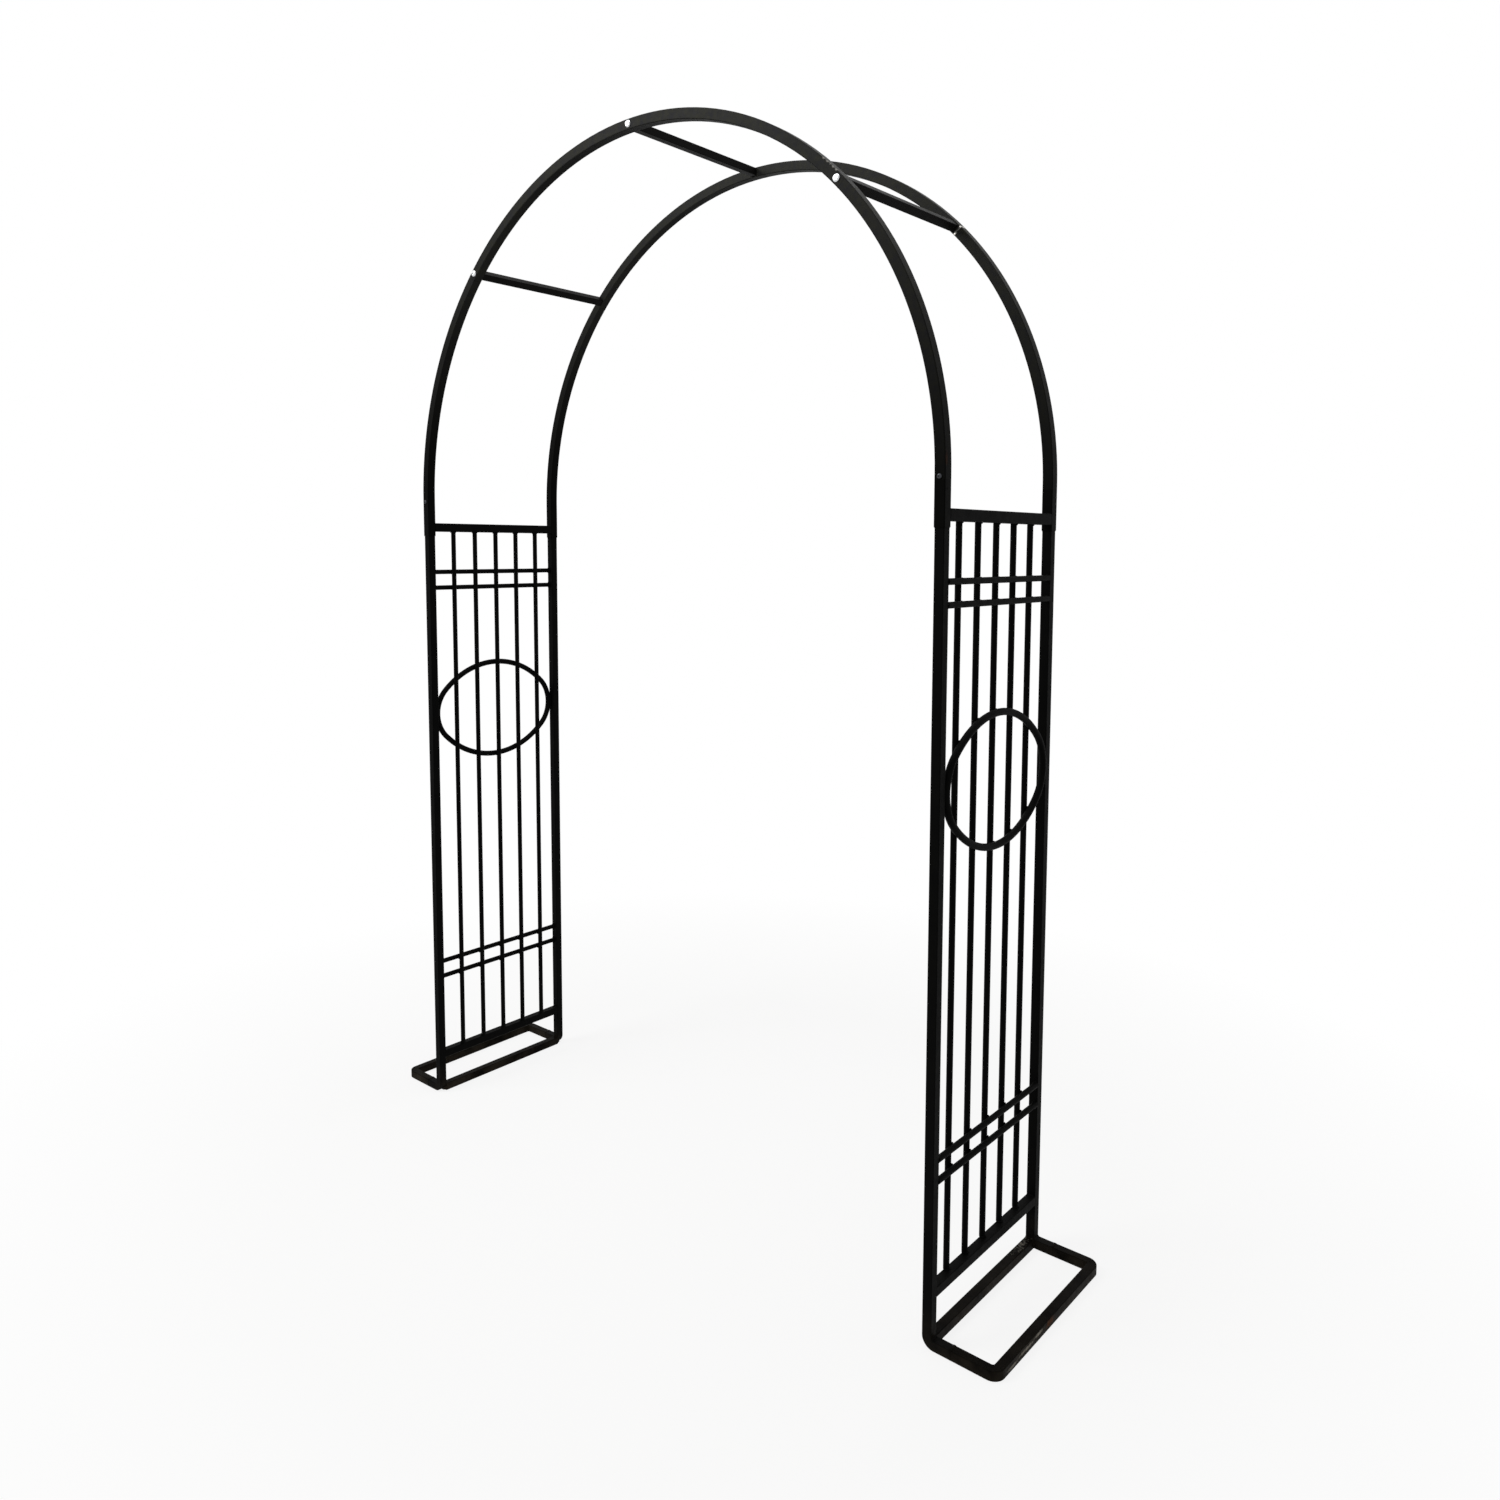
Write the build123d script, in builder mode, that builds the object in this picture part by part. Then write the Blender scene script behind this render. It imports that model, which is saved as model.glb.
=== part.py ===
"""Metal garden arch: two welded ladder panels on ground frames, two sectional hoops and three rungs.

Millimetres, +Z up. The origin is on the ground, midway between the four posts. +X is to the right and
-Y is the front.
"""

import os
from math import atan2, cos, degrees, radians, sin

from build123d import *

os.makedirs("parts", exist_ok=True)

# Overall layout, between tube axes
span = 1400.0
depth = 380.0
top_bar_height = 1400.0
bottom_bar_height = 95.0
base_reach = 125.0

# Square tube of the posts, bottom bars and ground frames
frame_tube = 18.0
frame_wall = 1.0
frame_corner = 1.5

# Square tube of the hoops, collars and top bars, which slides over the posts
hoop_wall = 0.9
hoop_corner = 1.8
leg_clearance = 0.2

# Collar that carries the top bar and seats the hoop leg
collar_clearance = 0.2
collar_below = 10.0
collar_above = 30.0

# Hoop leg, its grip on the post and the seams between the hoop sections
leg_straight = 25.0
leg_grip = 40.0
leg_screw_above = 20.0
rung_angle = 45.0
seam_below_rung = 13.0
splice_length = 80.0
splice_wall = 1.5
splice_clearance = 0.3

# Round bar of the panel filling
rod_diameter = 11.0
rod_count = 5
crossbar_diameter = 11.0
crossbar_spacing = 38.0
upper_pair_drop = 126.0
lower_pair_rise = 213.0
ring_bar = 13.0
ring_height = 235.0
ring_drop = 454.0
weld_gap = 0.1

# Ground frame, and the run of the posts' bent feet
bend_inside = 4.0
foot_reach = 45.0

# Rungs, their screws and the threaded plugs in their ends
rung_tube = 16.0
rung_wall = 1.2
rung_screw_diameter = 6.0
rung_screw_length = 35.0
rung_screw_head = 14.0
rung_screw_head_height = 3.6
rung_screw_socket = 4.0
rung_screw_socket_depth = 2.2
plug_length = 20.0
plug_clearance = 0.1
thread_clearance = 0.1
screw_clearance = 0.25

# Screws that lock the hoop legs on the posts
leg_screw_diameter = 4.8
leg_screw_length = 12.0
leg_screw_head = 9.0
leg_screw_head_height = 2.8
leg_screw_socket = 3.0
leg_screw_socket_depth = 1.6
head_edge_gap = 0.3

# Sizes that follow from those above
hoop_bore = frame_tube + 2 * leg_clearance
hoop_tube = hoop_bore + 2 * hoop_wall
collar_bore = frame_tube + 2 * collar_clearance
collar_bottom = top_bar_height - hoop_tube / 2 - collar_below
hoop_bottom = top_bar_height + hoop_tube / 2 + collar_above
post_top = hoop_bottom + leg_grip
leg_screw_height = hoop_bottom + leg_screw_above
spring_height = hoop_bottom + leg_straight
hoop_radius = span / 2
seam_angle = rung_angle - degrees(seam_below_rung / hoop_radius)
panel_opening = depth - frame_tube
rod_pitch = depth / (rod_count + 1)
base_bend = bend_inside + frame_tube / 2
base_outside = span / 2 + base_reach
rung_bore = rung_tube - 2 * rung_wall

sides = {"left": -1, "right": 1}
rows = {"front": -1, "rear": 1}
rung_angles = {"right": rung_angle, "crown": 90.0, "left": 180.0 - rung_angle}


def finish(piece, label):
    """Label a finished piece and write its STEP file."""
    piece.label = label
    export_step(piece, f"parts/{label}.step")


def square_tube(size, bore, corner):
    """Hollow square section with rounded outside corners, in the current sketch."""
    RectangleRounded(size, size, corner)
    Rectangle(bore, bore, mode=Mode.SUBTRACT)


def plane_along_y(x, y, z, turn=0.0):
    """Plane square to the Y axis, with its x direction turned up from +X by an angle in degrees."""
    return Plane(origin=(x, y, z), x_dir=(cos(radians(turn)), 0, sin(radians(turn))), z_dir=(0, 1, 0))


def outward_face(x, y, z, back):
    """Plane on a front or rear face, with its normal pointing away from the arch."""
    return Plane(origin=(x, y, z), x_dir=(1, 0, 0), z_dir=(0, back, 0))


def on_hoop(angle):
    """X and Z of a point on the hoop's axis, with the angle counted up from the right-hand spring."""
    return hoop_radius * cos(radians(angle)), spring_height + hoop_radius * sin(radians(angle))


def hoop_section_plane(angle, y):
    """Plane across the hoop tube at an angle, with its normal along the tube towards the left."""
    x, z = on_hoop(angle)
    normal = (-sin(radians(angle)), 0, cos(radians(angle)))
    return Plane(origin=(x, y, z), x_dir=(0, 1, 0), z_dir=normal)


def hoop_axis(y):
    """Axis that a hoop's sections turn about, from right to left."""
    return Axis((0, y, spring_height), (0, -1, 0))


# Posts, bent outwards at the foot and rising through the collars into the hoop legs
for side, out in sides.items():
    for row, back in rows.items():
        post_x = out * span / 2
        post_y = back * depth / 2
        with BuildPart() as post:
            with BuildLine() as post_path:
                FilletPolyline(
                    (post_x + out * foot_reach, post_y, frame_tube / 2),
                    (post_x, post_y, frame_tube / 2),
                    (post_x, post_y, post_top),
                    radius=base_bend,
                )
            with BuildSketch(Plane(origin=post_path.line @ 0, x_dir=(0, 1, 0), z_dir=post_path.line % 0)):
                square_tube(frame_tube, frame_tube - 2 * frame_wall, frame_corner)
            sweep()
            with Locations(outward_face(post_x, post_y + back * frame_tube / 2, leg_screw_height, back)):
                Hole(leg_screw_diameter / 2 + thread_clearance, depth=2 * frame_wall)
        finish(post.part, f"{side}_{row}_post")

# Collars round the post tops
for side, out in sides.items():
    for row, back in rows.items():
        with BuildPart() as collar:
            with BuildSketch(Plane.XY.offset(collar_bottom)):
                with Locations((out * span / 2, back * depth / 2)):
                    square_tube(hoop_tube, collar_bore, hoop_corner)
            extrude(amount=hoop_bottom - collar_bottom)
        finish(collar.part, f"{side}_{row}_collar")

# Top bars between the collars and bottom bars between the posts
for side, out in sides.items():
    with BuildPart() as top_bar:
        with BuildSketch(plane_along_y(out * span / 2, 0, top_bar_height)):
            square_tube(hoop_tube, hoop_bore, hoop_corner)
        extrude(amount=(depth - hoop_tube) / 2, both=True)
    finish(top_bar.part, f"{side}_top_bar")

    with BuildPart() as bottom_bar:
        with BuildSketch(plane_along_y(out * span / 2, 0, bottom_bar_height)):
            square_tube(frame_tube, frame_tube - 2 * frame_wall, frame_corner)
        extrude(amount=panel_opening / 2, both=True)
    finish(bottom_bar.part, f"{side}_bottom_bar")

# Upright rods on the inner half of each panel, butted on both bars
rod_bottom = bottom_bar_height + frame_tube / 2
rod_top = top_bar_height - hoop_tube / 2
for side, out in sides.items():
    rod_x = out * (span / 2 - rod_diameter / 2 - weld_gap)
    for number in range(1, rod_count + 1):
        with BuildPart() as rod:
            with BuildSketch(Plane.XY.offset(rod_bottom)):
                with Locations((rod_x, number * rod_pitch - depth / 2)):
                    Circle(rod_diameter / 2)
            extrude(amount=rod_top - rod_bottom)
        finish(rod.part, f"{side}_rod_{number}")

# Crossbars in two pairs on the outer half of each panel, butted on both posts
pair_heights = {
    "upper": top_bar_height - upper_pair_drop,
    "lower": bottom_bar_height + lower_pair_rise,
}
for side, out in sides.items():
    crossbar_x = out * (span / 2 + crossbar_diameter / 2)
    for pair, height in pair_heights.items():
        for place, up in {"top": 1, "bottom": -1}.items():
            with BuildPart() as crossbar:
                with BuildSketch(plane_along_y(crossbar_x, 0, height + up * crossbar_spacing / 2)):
                    Circle(crossbar_diameter / 2)
                extrude(amount=panel_opening / 2, both=True)
            finish(crossbar.part, f"{side}_{pair}_crossbar_{place}")

# Rings: a bar bent to a four-centred oval that touches both posts and lies on the rods
ring_half_width = panel_opening / 2 - ring_bar / 2 - weld_gap
ring_half_height = ring_height / 2
ring_end_radius = ring_half_height**2 / ring_half_width
ring_end_centre = ring_half_width - ring_end_radius
ring_side_radius = (ring_end_centre**2 + ring_half_height**2 - ring_end_radius**2) / (
    2 * (ring_half_height - ring_end_radius)
)
ring_side_centre = ring_side_radius - ring_half_height
ring_end_turn = degrees(atan2(ring_side_centre, ring_end_centre))
ring_side_turn = 90 - ring_end_turn
for side, out in sides.items():
    ring_x = out * (span / 2 + ring_bar / 2)
    ring_plane = Plane(origin=(ring_x, 0, top_bar_height - ring_drop), x_dir=(0, 1, 0), z_dir=(1, 0, 0))
    with BuildPart() as ring:
        with BuildLine(ring_plane) as oval:
            CenterArc((ring_end_centre, 0), ring_end_radius, -ring_end_turn, 2 * ring_end_turn)
            CenterArc((0, -ring_side_centre), ring_side_radius, ring_end_turn, 2 * ring_side_turn)
            CenterArc((-ring_end_centre, 0), ring_end_radius, 180 - ring_end_turn, 2 * ring_end_turn)
            CenterArc((0, ring_side_centre), ring_side_radius, 180 + ring_end_turn, 2 * ring_side_turn)
        with BuildSketch(oval.line ^ 0):
            Circle(ring_bar / 2)
        sweep()
    finish(ring.part, f"{side}_ring")

# Ground frames: a bent bar that closes the posts' feet and a straight rail between the posts
for side, out in sides.items():
    inner_end = out * (span / 2 + foot_reach)
    front_y = -depth / 2
    rear_y = depth / 2
    mid_height = frame_tube / 2
    with BuildPart() as ground_bar:
        with BuildLine() as bar_path:
            FilletPolyline(
                (inner_end, front_y, mid_height),
                (out * base_outside, front_y, mid_height),
                (out * base_outside, rear_y, mid_height),
                (inner_end, rear_y, mid_height),
                radius=base_bend,
            )
        with BuildSketch(Plane(origin=bar_path.line @ 0, x_dir=(0, 1, 0), z_dir=bar_path.line % 0)):
            square_tube(frame_tube, frame_tube - 2 * frame_wall, frame_corner)
        sweep()
    finish(ground_bar.part, f"{side}_ground_bar")

    with BuildPart() as ground_rail:
        with BuildSketch(plane_along_y(out * span / 2, 0, mid_height)):
            square_tube(frame_tube, frame_tube - 2 * frame_wall, frame_corner)
        extrude(amount=panel_opening / 2, both=True)
    finish(ground_rail.part, f"{side}_ground_rail")

# Hoops, each of two leg sections and a crown section
for row, back in rows.items():
    hoop_y = back * depth / 2
    for side, out in sides.items():
        with BuildPart() as hoop_leg:
            with BuildSketch(Plane.XY.offset(hoop_bottom)):
                with Locations((out * hoop_radius, hoop_y)):
                    square_tube(hoop_tube, hoop_bore, hoop_corner)
            extrude(amount=leg_straight)
            with BuildSketch(Plane.XY.offset(spring_height)):
                with Locations((out * hoop_radius, hoop_y)):
                    square_tube(hoop_tube, hoop_bore, hoop_corner)
            revolve(axis=Axis((0, hoop_y, spring_height), (0, -out, 0)), revolution_arc=seam_angle)
            leg_face_y = hoop_y + back * hoop_tube / 2
            with Locations(outward_face(out * hoop_radius, leg_face_y, leg_screw_height, back)):
                Hole(leg_screw_diameter / 2 + screw_clearance, depth=2 * hoop_wall)
        finish(hoop_leg.part, f"{row}_hoop_{side}_leg")

    with BuildPart() as hoop_crown:
        with BuildSketch(hoop_section_plane(seam_angle, hoop_y)):
            square_tube(hoop_tube, hoop_bore, hoop_corner)
        revolve(axis=hoop_axis(hoop_y), revolution_arc=180 - 2 * seam_angle)
        for angle in rung_angles.values():
            hole_x, hole_z = on_hoop(angle)
            with Locations(outward_face(hole_x, hoop_y + back * hoop_tube / 2, hole_z, back)):
                Hole(rung_screw_diameter / 2 + screw_clearance)
    finish(hoop_crown.part, f"{row}_hoop_crown")

# Splices inside the hoop seams, drilled for the side rungs' screws
splice_tube = hoop_bore - 2 * splice_clearance
splice_turn = degrees(splice_length / hoop_radius)
seam_angles = {"right": seam_angle, "left": 180 - seam_angle}
for row, back in rows.items():
    hoop_y = back * depth / 2
    for side in sides:
        with BuildPart() as splice:
            with BuildSketch(hoop_section_plane(seam_angles[side] - splice_turn / 2, hoop_y)):
                square_tube(splice_tube, splice_tube - 2 * splice_wall, frame_corner)
            revolve(axis=hoop_axis(hoop_y), revolution_arc=splice_turn)
            hole_x, hole_z = on_hoop(rung_angles[side])
            with Locations(outward_face(hole_x, hoop_y + back * splice_tube / 2, hole_z, back)):
                Hole(rung_screw_diameter / 2 + screw_clearance)
        finish(splice.part, f"{row}_hoop_{side}_splice")

# Rungs between the hoops, square to the hoop's curve
rung_half = (depth - hoop_tube) / 2
for name, angle in rung_angles.items():
    rung_x, rung_z = on_hoop(angle)
    with BuildPart() as rung:
        with BuildSketch(plane_along_y(rung_x, 0, rung_z, angle)):
            square_tube(rung_tube, rung_bore, frame_corner)
        extrude(amount=rung_half, both=True)
    finish(rung.part, f"{name}_rung")

# Threaded plugs fixed in both ends of every rung
with BuildPart() as rung_plugs:
    for angle in rung_angles.values():
        rung_x, rung_z = on_hoop(angle)
        for back in rows.values():
            with BuildSketch(plane_along_y(rung_x, back * rung_half, rung_z, angle)):
                Rectangle(rung_bore - 2 * plug_clearance, rung_bore - 2 * plug_clearance)
                Circle(rung_screw_diameter / 2 + thread_clearance, mode=Mode.SUBTRACT)
            extrude(amount=-back * plug_length)
finish(rung_plugs.part, "rung_plugs")


def button_screw(diameter, length, head, head_height, socket, socket_depth):
    """Button-head screw with a hexagon socket, its head standing up from the XY plane."""
    with BuildPart() as screw:
        Cylinder(head / 2, head_height, align=(Align.CENTER, Align.CENTER, Align.MIN))
        fillet(screw.edges().group_by(Axis.Z)[-1], radius=head_height - head_edge_gap)
        Cylinder(diameter / 2, length, align=(Align.CENTER, Align.CENTER, Align.MAX))
        with BuildSketch(Plane.XY.offset(head_height)):
            RegularPolygon(socket / 2, 6, major_radius=False)
        extrude(amount=-socket_depth, mode=Mode.SUBTRACT)
    return screw.part


# Screws through the hoops into the rung plugs
rung_screw = button_screw(
    rung_screw_diameter,
    rung_screw_length,
    rung_screw_head,
    rung_screw_head_height,
    rung_screw_socket,
    rung_screw_socket_depth,
)
with BuildPart() as rung_screws:
    for angle in rung_angles.values():
        screw_x, screw_z = on_hoop(angle)
        for back in rows.values():
            with Locations(outward_face(screw_x, back * (depth + hoop_tube) / 2, screw_z, back)):
                add(rung_screw)
finish(rung_screws.part, "rung_screws")

# Screws that lock the hoop legs on the posts
leg_screw = button_screw(
    leg_screw_diameter,
    leg_screw_length,
    leg_screw_head,
    leg_screw_head_height,
    leg_screw_socket,
    leg_screw_socket_depth,
)
with BuildPart() as leg_screws:
    for out in sides.values():
        for back in rows.values():
            screw_face_y = back * (depth + hoop_tube) / 2
            with Locations(outward_face(out * span / 2, screw_face_y, leg_screw_height, back)):
                add(leg_screw)
finish(leg_screws.part, "leg_screws")
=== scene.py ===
"""Dresses the metal garden arch: coats, welds, seams and wear on its packed tubes, rods and rings."""

import logging
from abc import ABC, abstractmethod
from dataclasses import dataclass, field
from enum import Enum
from math import asin, cos, pi, radians, sin, sqrt

import bmesh
import bpy
from mathutils import Matrix, Vector, noise


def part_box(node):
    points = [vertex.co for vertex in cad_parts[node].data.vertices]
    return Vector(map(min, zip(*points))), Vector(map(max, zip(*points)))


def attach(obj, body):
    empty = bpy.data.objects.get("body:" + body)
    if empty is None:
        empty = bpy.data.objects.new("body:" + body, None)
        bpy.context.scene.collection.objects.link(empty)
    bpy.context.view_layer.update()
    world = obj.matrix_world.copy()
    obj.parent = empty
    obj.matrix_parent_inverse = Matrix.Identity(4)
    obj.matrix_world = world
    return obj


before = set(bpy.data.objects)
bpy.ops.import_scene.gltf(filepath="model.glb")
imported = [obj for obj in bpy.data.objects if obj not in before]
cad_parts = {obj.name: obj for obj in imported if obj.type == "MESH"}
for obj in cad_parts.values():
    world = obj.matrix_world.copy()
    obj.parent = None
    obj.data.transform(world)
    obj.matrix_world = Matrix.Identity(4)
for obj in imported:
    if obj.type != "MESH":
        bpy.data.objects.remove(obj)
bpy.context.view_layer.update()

LOG = logging.getLogger("garden_arch")
MM = 0.001
BODY = "root"

# Numbers of a Mix node's colour sockets, which share their names with its sockets for plain values
MIX_SHARE = 0
MIX_UNDER = 6
MIX_OVER = 7
MIX_RESULT = 2

# A square's sides, and how far its corners lie from its middle for a half side of 1
SQUARE_SIDES = 4
SQUARE_REACH = sqrt(2)

Pair = tuple[float, float]
Triple = tuple[float, float, float]
Colour = tuple[float, float, float, float]
Tree = bpy.types.NodeTree
Socket = bpy.types.NodeSocket
Finish = bpy.types.Material


class Side(Enum):
    """Panel of the arch, with the direction along X that leads away from the walkway."""

    LEFT = -1
    RIGHT = 1

    @property
    def label(self) -> str:
        """Word that opens this side's node names."""
        return self.name.lower()


class Row(Enum):
    """Front or rear line of posts, with its direction along Y."""

    FRONT = -1
    REAR = 1

    @property
    def label(self) -> str:
        """Word that names this row in the node names."""
        return self.name.lower()


def linear(colour: str) -> Colour:
    """Turn an sRGB hex colour into linear RGBA by the sRGB curve.

    Args:
        colour: Six hex digits after a hash sign.

    Returns:
        Linear red, green and blue, with an alpha of 1.
    """
    levels = [int(colour[start : start + 2], 16) / 255 for start in (1, 3, 5)]
    red, green, blue = (
        level / 12.92 if level <= 0.04045 else ((level + 0.055) / 1.055) ** 2.4 for level in levels
    )
    return red, green, blue, 1.0


def add_node(
    tree: Tree,
    kind: str,
    inputs: dict[str | int, object] | None = None,
    **settings: object,
) -> bpy.types.Node:
    """Add one shader node with its settings, values and links.

    Args:
        tree: Node tree that receives the node.
        kind: Blender's class name of the node.
        inputs: A value, or an output socket to link, for each named or numbered input.
        **settings: Attributes of the node itself.

    Returns:
        The new node.
    """
    node = tree.nodes.new(kind)
    for name, value in settings.items():
        setattr(node, name, value)
    for key, value in (inputs or {}).items():
        if isinstance(value, Socket):
            tree.links.new(value, node.inputs[key])
        else:
            node.inputs[key].default_value = value
    return node


def new_material(name: str) -> Finish:
    """Make a material with an empty node tree.

    Args:
        name: Name of the finish.

    Returns:
        The material, ready for its nodes.
    """
    material = bpy.data.materials.new(name)
    material.use_nodes = True
    material.node_tree.nodes.clear()
    return material


def per_metre(size_mm: float) -> float:
    """Noise scale for features of this size in millimetres on Object coordinates."""
    return 1.0 / (size_mm * MM)


@dataclass(frozen=True)
class MetalSurface:
    """What the layers of a coat read of the metal that they lie on.

    Attributes:
        tree: Node tree of the coat.
        where: Object coordinates.
        normal: Direction in which the face looks.
        height: Height above the ground.
        up: How far the face looks up, from -1 to 1.
        cloud: Soft clouds.
        patches: The same clouds, gathered into patches.
    """

    tree: Tree
    where: Socket
    normal: Socket
    height: Socket
    up: Socket
    cloud: Socket
    patches: Socket


@dataclass(frozen=True)
class CoatLayer(ABC):
    """One tone that shows on part of a coat."""

    colour: str

    def tone(self, metal: MetalSurface) -> Colour | Socket:
        """Tone of the layer, here one colour on all of the metal."""
        return linear(self.colour)

    @abstractmethod
    def share(self, metal: MetalSurface) -> Socket:
        """Share of the tone at each point of the metal, from 0 to 1."""


@dataclass(frozen=True)
class FadedPatches(CoatLayer):
    """Film that has faded a little in soft patches."""

    def share(self, metal: MetalSurface) -> Socket:
        """Share of the faded tone at each point, from 0 to 1."""
        return metal.patches


@dataclass(frozen=True)
class SunBleach(CoatLayer):
    """Painted light: a lighter grey laid into the colour where light falls on the hoops, more so the higher
    it is.

    It shows on the faces that look to the front right, and stops at the leg screws' height.

    Attributes:
        chalk: Tone of the lighter specks that mottle the painted light.
        chalk_mm: Size of the specks.
        chalk_range: Levels of the speck noise at which the specks start and are full.
        sun: Direction along which the painted light grows.
        reach: Distances along that direction at which it starts and is full.
        climb: Power that holds it back at first.
        sunny_side: Direction of the faces that get the painted light.
        sunny_range: How far a face looks that way when it starts to get the painted light and gets it in
            full.
        shady_share: Share of the painted light on the other faces.
        lowest: Height of the leg screws.
    """

    chalk: str
    chalk_mm: float = 12.0
    chalk_range: Pair = (0.35, 0.65)
    sun: Triple = (0.1, 0.0, 0.995)
    reach: Pair = (1.42, 2.17)
    climb: float = 1.35
    sunny_side: Triple = (0.75, -0.66, 0.0)
    sunny_range: Pair = (0.25, 0.6)
    shady_share: float = 0.08
    lowest: float = 1.4545

    def tone(self, metal: MetalSurface) -> Socket:
        """Mottle the painted light with lighter specks.

        Args:
            metal: Readings of the metal.

        Returns:
            Tone at each point.
        """
        specks = add_node(
            metal.tree,
            "ShaderNodeTexNoise",
            {"Vector": metal.where, "Scale": per_metre(self.chalk_mm), "Detail": 4.0, "Roughness": 0.7},
        ).outputs["Fac"]
        plain, specked = self.chalk_range
        mottle = add_node(
            metal.tree, "ShaderNodeMapRange", {"Value": specks, "From Min": plain, "From Max": specked}
        ).outputs["Result"]
        return add_node(
            metal.tree,
            "ShaderNodeMix",
            {MIX_SHARE: mottle, MIX_UNDER: linear(self.colour), MIX_OVER: linear(self.chalk)},
            data_type="RGBA",
        ).outputs[MIX_RESULT]

    def share(self, metal: MetalSurface) -> Socket:
        """Paint light into the colour where the hoop is high and looks to the front right.

        Args:
            metal: Readings of the metal.

        Returns:
            Share of the painted light at each point, from 0 to 1.
        """
        tree = metal.tree
        towards = add_node(
            tree, "ShaderNodeVectorMath", {0: metal.where, 1: self.sun}, operation="DOT_PRODUCT"
        ).outputs["Value"]
        start, full = self.reach
        raised = add_node(
            tree, "ShaderNodeMapRange", {"Value": towards, "From Min": start, "From Max": full}
        ).outputs["Result"]
        share = add_node(tree, "ShaderNodeMath", {0: raised, 1: self.climb}, operation="POWER").outputs[0]
        # The painted light stops at the leg screws' height
        above_leg_screws = add_node(
            tree, "ShaderNodeMath", {0: metal.height, 1: self.lowest}, operation="GREATER_THAN"
        ).outputs[0]
        facing = add_node(
            tree, "ShaderNodeVectorMath", {0: metal.normal, 1: self.sunny_side}, operation="DOT_PRODUCT"
        ).outputs["Value"]
        turned_away, turned_to = self.sunny_range
        lit = add_node(
            tree,
            "ShaderNodeMapRange",
            {"Value": facing, "From Min": turned_away, "From Max": turned_to, "To Min": self.shady_share},
        ).outputs["Result"]
        for factor in (above_leg_screws, lit):
            share = add_node(tree, "ShaderNodeMath", {0: share, 1: factor}, operation="MULTIPLY").outputs[0]
        return share


@dataclass(frozen=True)
class SettledDust(CoatLayer):
    """Thin dust on the faces that look up."""

    most: float = 0.06
    up_range: Pair = (0.35, 1.0)

    def share(self, metal: MetalSurface) -> Socket:
        """Let the dust settle unevenly on the flatter faces.

        Args:
            metal: Readings of the metal.

        Returns:
            Share of the dust at each point, from 0 to 1.
        """
        steep, level = self.up_range
        settled = add_node(
            metal.tree,
            "ShaderNodeMapRange",
            {"Value": metal.up, "From Min": steep, "From Max": level, "To Max": self.most},
        ).outputs["Result"]
        return add_node(
            metal.tree, "ShaderNodeMath", {0: settled, 1: metal.cloud}, operation="MULTIPLY"
        ).outputs[0]


@dataclass(frozen=True)
class MudSplash(CoatLayer):
    """Dried mud that rain has splashed on the upright faces near the ground."""

    most: float
    height_mm: float = 70.0
    upright_range: Pair = (0.6, 0.1)
    flat_share: float = 0.2

    def share(self, metal: MetalSurface) -> Socket:
        """Splash the upright faces in patches, less so with height.

        Args:
            metal: Readings of the metal.

        Returns:
            Share of the mud at each point, from 0 to 1.
        """
        tree = metal.tree
        flat = add_node(tree, "ShaderNodeMath", {0: metal.up}, operation="ABSOLUTE").outputs[0]
        lying, standing = self.upright_range
        share = add_node(
            tree,
            "ShaderNodeMapRange",
            {
                "Value": flat,
                "From Min": lying,
                "From Max": standing,
                "To Min": self.flat_share * self.most,
                "To Max": self.most,
            },
        ).outputs["Result"]
        near_ground = add_node(
            tree,
            "ShaderNodeMapRange",
            {"Value": metal.height, "From Min": self.height_mm * MM, "From Max": 0.0},
        ).outputs["Result"]
        for factor in (near_ground, metal.patches):
            share = add_node(tree, "ShaderNodeMath", {0: share, 1: factor}, operation="MULTIPLY").outputs[0]
        return share


@dataclass(frozen=True)
class WearSpot:
    """Place where the film has worn or where a highlight is painted, with its reach along X, Y and Z."""

    centre: Triple
    reach_mm: Triple
    depth: float = 1.0


@dataclass(frozen=True)
class WornSpots(CoatLayer):
    """Rust or scuffs that show through the film in a few places, or a highlight painted the same way."""

    grain_mm: float
    spots: tuple[WearSpot, ...]
    bare_range: Pair = (0.2, 0.38)

    def share(self, metal: MetalSurface) -> Socket:
        """Wear the film through, or paint a highlight, round each spot, broken up by a fine grain.

        Args:
            metal: Readings of the metal.

        Returns:
            Share of the worn or highlight tone at each point, from 0 to 1.
        """
        tree = metal.tree
        nearest: Socket | float = 0.0
        for spot in self.spots:
            offset = add_node(
                tree, "ShaderNodeVectorMath", {0: metal.where, 1: spot.centre}, operation="SUBTRACT"
            ).outputs["Vector"]
            reach = tuple(per_metre(size) for size in spot.reach_mm)
            shares = add_node(
                tree, "ShaderNodeVectorMath", {0: offset, 1: reach}, operation="MULTIPLY"
            ).outputs["Vector"]
            away = add_node(tree, "ShaderNodeVectorMath", {0: shares}, operation="LENGTH").outputs["Value"]
            near = add_node(
                tree,
                "ShaderNodeMapRange",
                {"Value": away, "From Min": 1.0, "From Max": 0.0, "To Max": spot.depth},
            ).outputs["Result"]
            nearest = add_node(
                tree, "ShaderNodeMath", {0: nearest, 1: near}, operation="MAXIMUM"
            ).outputs[0]
        grain = add_node(
            tree,
            "ShaderNodeTexNoise",
            {"Vector": metal.where, "Scale": per_metre(self.grain_mm), "Detail": 4.0},
        ).outputs["Fac"]
        broken = add_node(tree, "ShaderNodeMath", {0: nearest, 1: grain}, operation="MULTIPLY").outputs[0]
        sound, bare = self.bare_range
        return add_node(
            tree, "ShaderNodeMapRange", {"Value": broken, "From Min": sound, "From Max": bare}
        ).outputs["Result"]


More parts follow.
